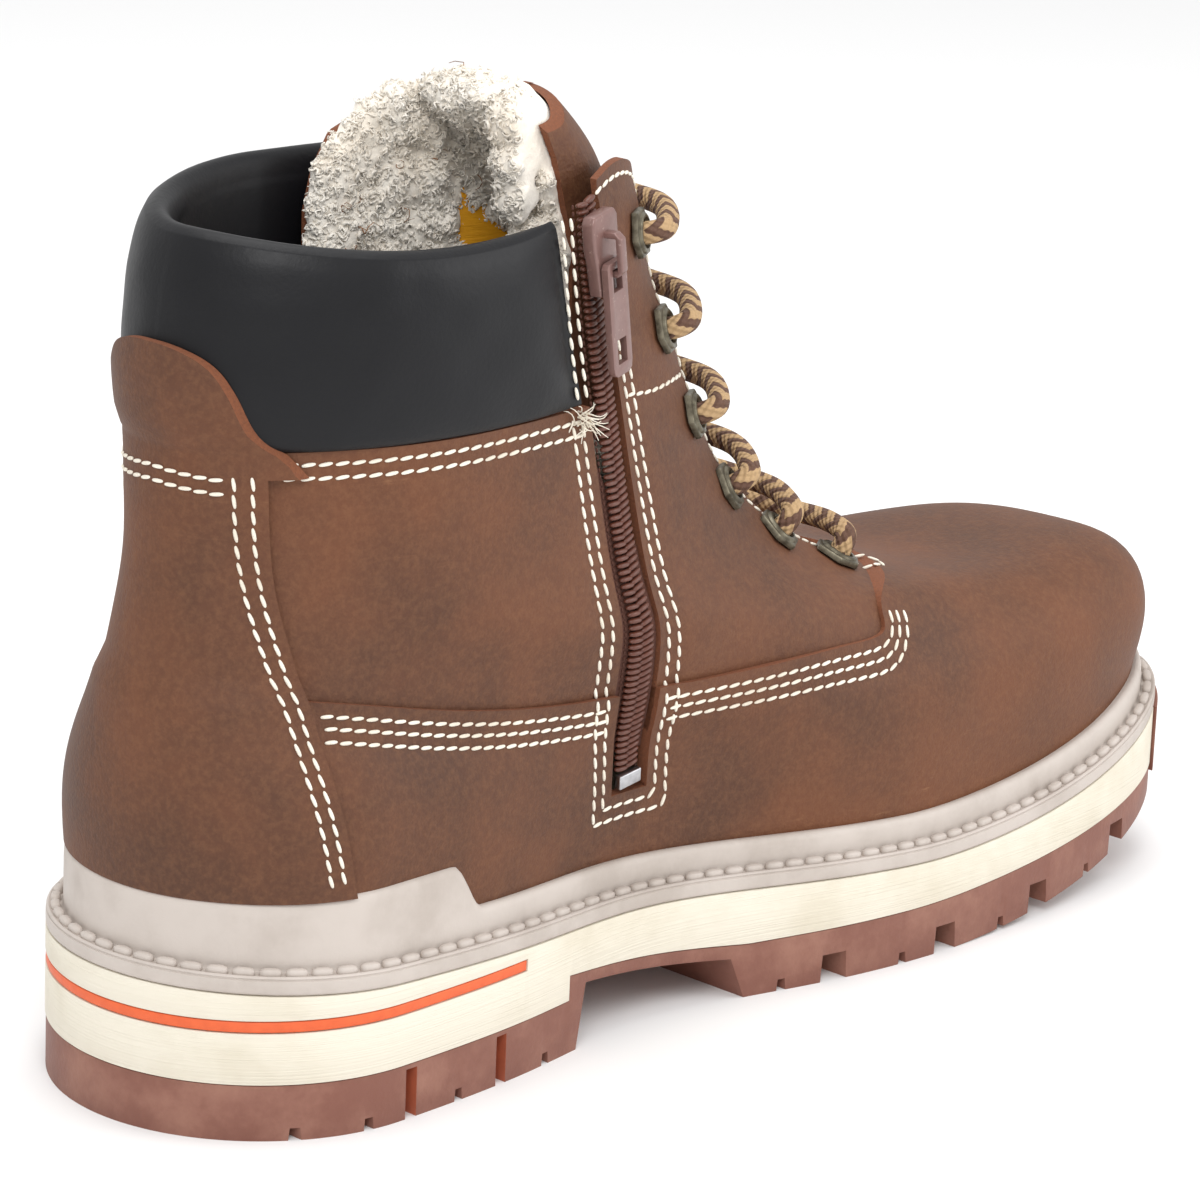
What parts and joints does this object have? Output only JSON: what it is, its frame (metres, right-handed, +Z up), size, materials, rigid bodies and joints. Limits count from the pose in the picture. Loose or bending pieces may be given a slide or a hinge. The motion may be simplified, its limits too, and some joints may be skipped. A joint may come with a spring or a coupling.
{
  "type": "winter boot",
  "caption": "Ankle-high left winter boot: lined leather upper, padded collar, side zip, laced instep and lugged layered sole.",
  "frame": {"origin": "middle of the boot's footprint, on the floor", "axes": "+X from heel to toe, +Y to the outer side of the foot, +Z up"},
  "size_m": [0.3044, 0.1092, 0.1998],
  "materials": {
    "leather": "oiled brown nubuck with lighter rubs",
    "tape": "woven reddish-brown zip tape and coil",
    "rim": "matt taupe rubber",
    "foam": "matt cream foam",
    "stripe": "matt orange",
    "tread": "matt brown rubber",
    "collar": "smooth black",
    "pile": "cream curly pile",
    "sock": "soft lining",
    "brass": "antique, worn",
    "lace": "round braided cord",
    "slider": "mauve-brown satin",
    "stop": "plain",
    "label": "plain woven yellow"
  },
  "bodies": {
    "boot": {"midsole": "foam", "midsole_stripe": "stripe", "outsole": "tread", "welt": "rim", "insole": "sock", "upper": "leather", "collar": "collar", "back_panel": "leather", "tongue": "leather", "tongue_label": "label", "tongue_pile": "pile", "zip_tape": "tape", "zip_stop": "stop", "zip_slider": "slider", "eyelet_inner_1": "brass", "eyelet_inner_2": "brass", "eyelet_inner_3": "brass", "eyelet_inner_4": "brass", "eyelet_inner_5": "brass", "eyelet_inner_6": "brass", "eyelet_outer_1": "brass", "eyelet_outer_2": "brass", "eyelet_outer_3": "brass", "eyelet_outer_4": "brass", "eyelet_outer_5": "brass", "eyelet_outer_6": "brass", "lace_bar_1": "lace", "lace_bar_2": "lace", "lace_bar_3": "lace", "lace_bar_4": "lace", "lace_bar_5": "lace", "lace_bar_6": "lace"},
    "zip_pull": {"zip_pull": "slider"}
  },
  "joints": [
    {"name": "zip_pull_swing", "type": "hinge", "parent": "boot", "child": "zip_pull", "pos_m": [-0.05254, -0.04155, 0.16658], "axis": [-0.9591, -0.2395, -0.151], "range_deg": [0, 130]}
  ]
}
